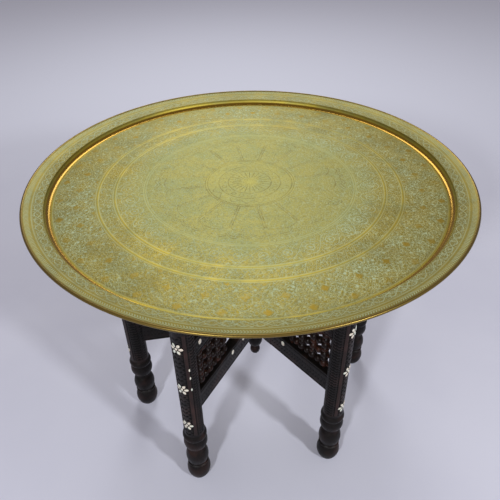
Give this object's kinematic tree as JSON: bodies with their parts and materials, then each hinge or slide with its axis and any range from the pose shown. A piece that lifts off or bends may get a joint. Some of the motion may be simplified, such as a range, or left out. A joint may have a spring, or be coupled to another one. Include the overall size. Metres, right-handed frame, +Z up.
{
  "type": "tray table",
  "caption": "Low table: a loose round engraved brass tray rests on a carved wooden stand whose hinged leaves swing on a centre post and fold flat.",
  "frame": {"origin": "on the floor, under the middle of the tray", "axes": "+Z up; -Y towards the viewer of the picture"},
  "size_m": [0.7, 0.7, 0.5309],
  "materials": {
    "tray_brass": "hand engraved, aged, with pale residue in the engraving",
    "hinge_brass": "dull, darkened",
    "carved_wood": "near-black stain, worn to reddish brown, chip carved and inlaid with shell",
    "turned_wood": "near-black stain, worn to reddish brown"
  },
  "bodies": {
    "frame": {"baluster_front_left": "turned_wood", "baluster_rear_right": "turned_wood", "center_post": "carved_wood", "hinge_high_fixed_front_right": "hinge_brass", "hinge_high_fixed_left": "hinge_brass", "hinge_high_fixed_rear_left": "hinge_brass", "hinge_high_fixed_right": "hinge_brass", "hinge_low_fixed_front_right": "hinge_brass", "hinge_low_fixed_left": "hinge_brass", "hinge_low_fixed_rear_left": "hinge_brass", "hinge_low_fixed_right": "hinge_brass", "lattice_front_left": "turned_wood", "lattice_rear_right": "turned_wood", "leg_front_left": "carved_wood", "leg_rear_right": "carved_wood", "pendant_finial": "carved_wood", "rail_low_front_left": "carved_wood", "rail_low_rear_right": "carved_wood", "rail_mid_front_left": "carved_wood", "rail_mid_rear_right": "carved_wood", "rail_top_front_left": "carved_wood", "rail_top_rear_right": "carved_wood"},
    "tray": {"tray_dish": "tray_brass"},
    "leaf_left": {"baluster_left": "turned_wood", "hinge_high_moving_left": "hinge_brass", "hinge_low_moving_left": "hinge_brass", "lattice_left": "turned_wood", "leg_left": "carved_wood", "rail_low_left": "carved_wood", "rail_mid_left": "carved_wood", "rail_top_left": "carved_wood", "stile_left": "carved_wood"},
    "leaf_front_right": {"baluster_front_right": "turned_wood", "hinge_high_moving_front_right": "hinge_brass", "hinge_low_moving_front_right": "hinge_brass", "lattice_front_right": "turned_wood", "leg_front_right": "carved_wood", "rail_low_front_right": "carved_wood", "rail_mid_front_right": "carved_wood", "rail_top_front_right": "carved_wood", "stile_front_right": "carved_wood"},
    "leaf_right": {"baluster_right": "turned_wood", "hinge_high_moving_right": "hinge_brass", "hinge_low_moving_right": "hinge_brass", "lattice_right": "turned_wood", "leg_right": "carved_wood", "rail_low_right": "carved_wood", "rail_mid_right": "carved_wood", "rail_top_right": "carved_wood", "stile_right": "carved_wood"},
    "leaf_rear_left": {"baluster_rear_left": "turned_wood", "hinge_high_moving_rear_left": "hinge_brass", "hinge_low_moving_rear_left": "hinge_brass", "lattice_rear_left": "turned_wood", "leg_rear_left": "carved_wood", "rail_low_rear_left": "carved_wood", "rail_mid_rear_left": "carved_wood", "rail_top_rear_left": "carved_wood", "stile_rear_left": "carved_wood"}
  },
  "joints": [
    {"name": "fold_left", "type": "hinge", "parent": "frame", "child": "leaf_left", "pos_m": [-0.02297, -0.01468, 0.25], "axis": [0, 0, 1], "range_deg": [-10.5, 48.5]},
    {"name": "fold_front_right", "type": "hinge", "parent": "frame", "child": "leaf_front_right", "pos_m": [0.0154, -0.03621, 0.25], "axis": [0, 0, 1], "range_deg": [-67.9, 5.1]},
    {"name": "fold_right", "type": "hinge", "parent": "frame", "child": "leaf_right", "pos_m": [0.03497, -0.00133, 0.25], "axis": [0, 0, 1], "range_deg": [-23.6, 35.4]},
    {"name": "fold_rear_left", "type": "hinge", "parent": "frame", "child": "leaf_rear_left", "pos_m": [-0.0034, 0.02021, 0.25], "axis": [0, 0, 1], "range_deg": [-67.9, 5.1]},
    {"name": "tray_lift", "type": "slide", "parent": "frame", "child": "tray", "axis": [0, 0, 1], "range_m": [0, 0.3]}
  ]
}
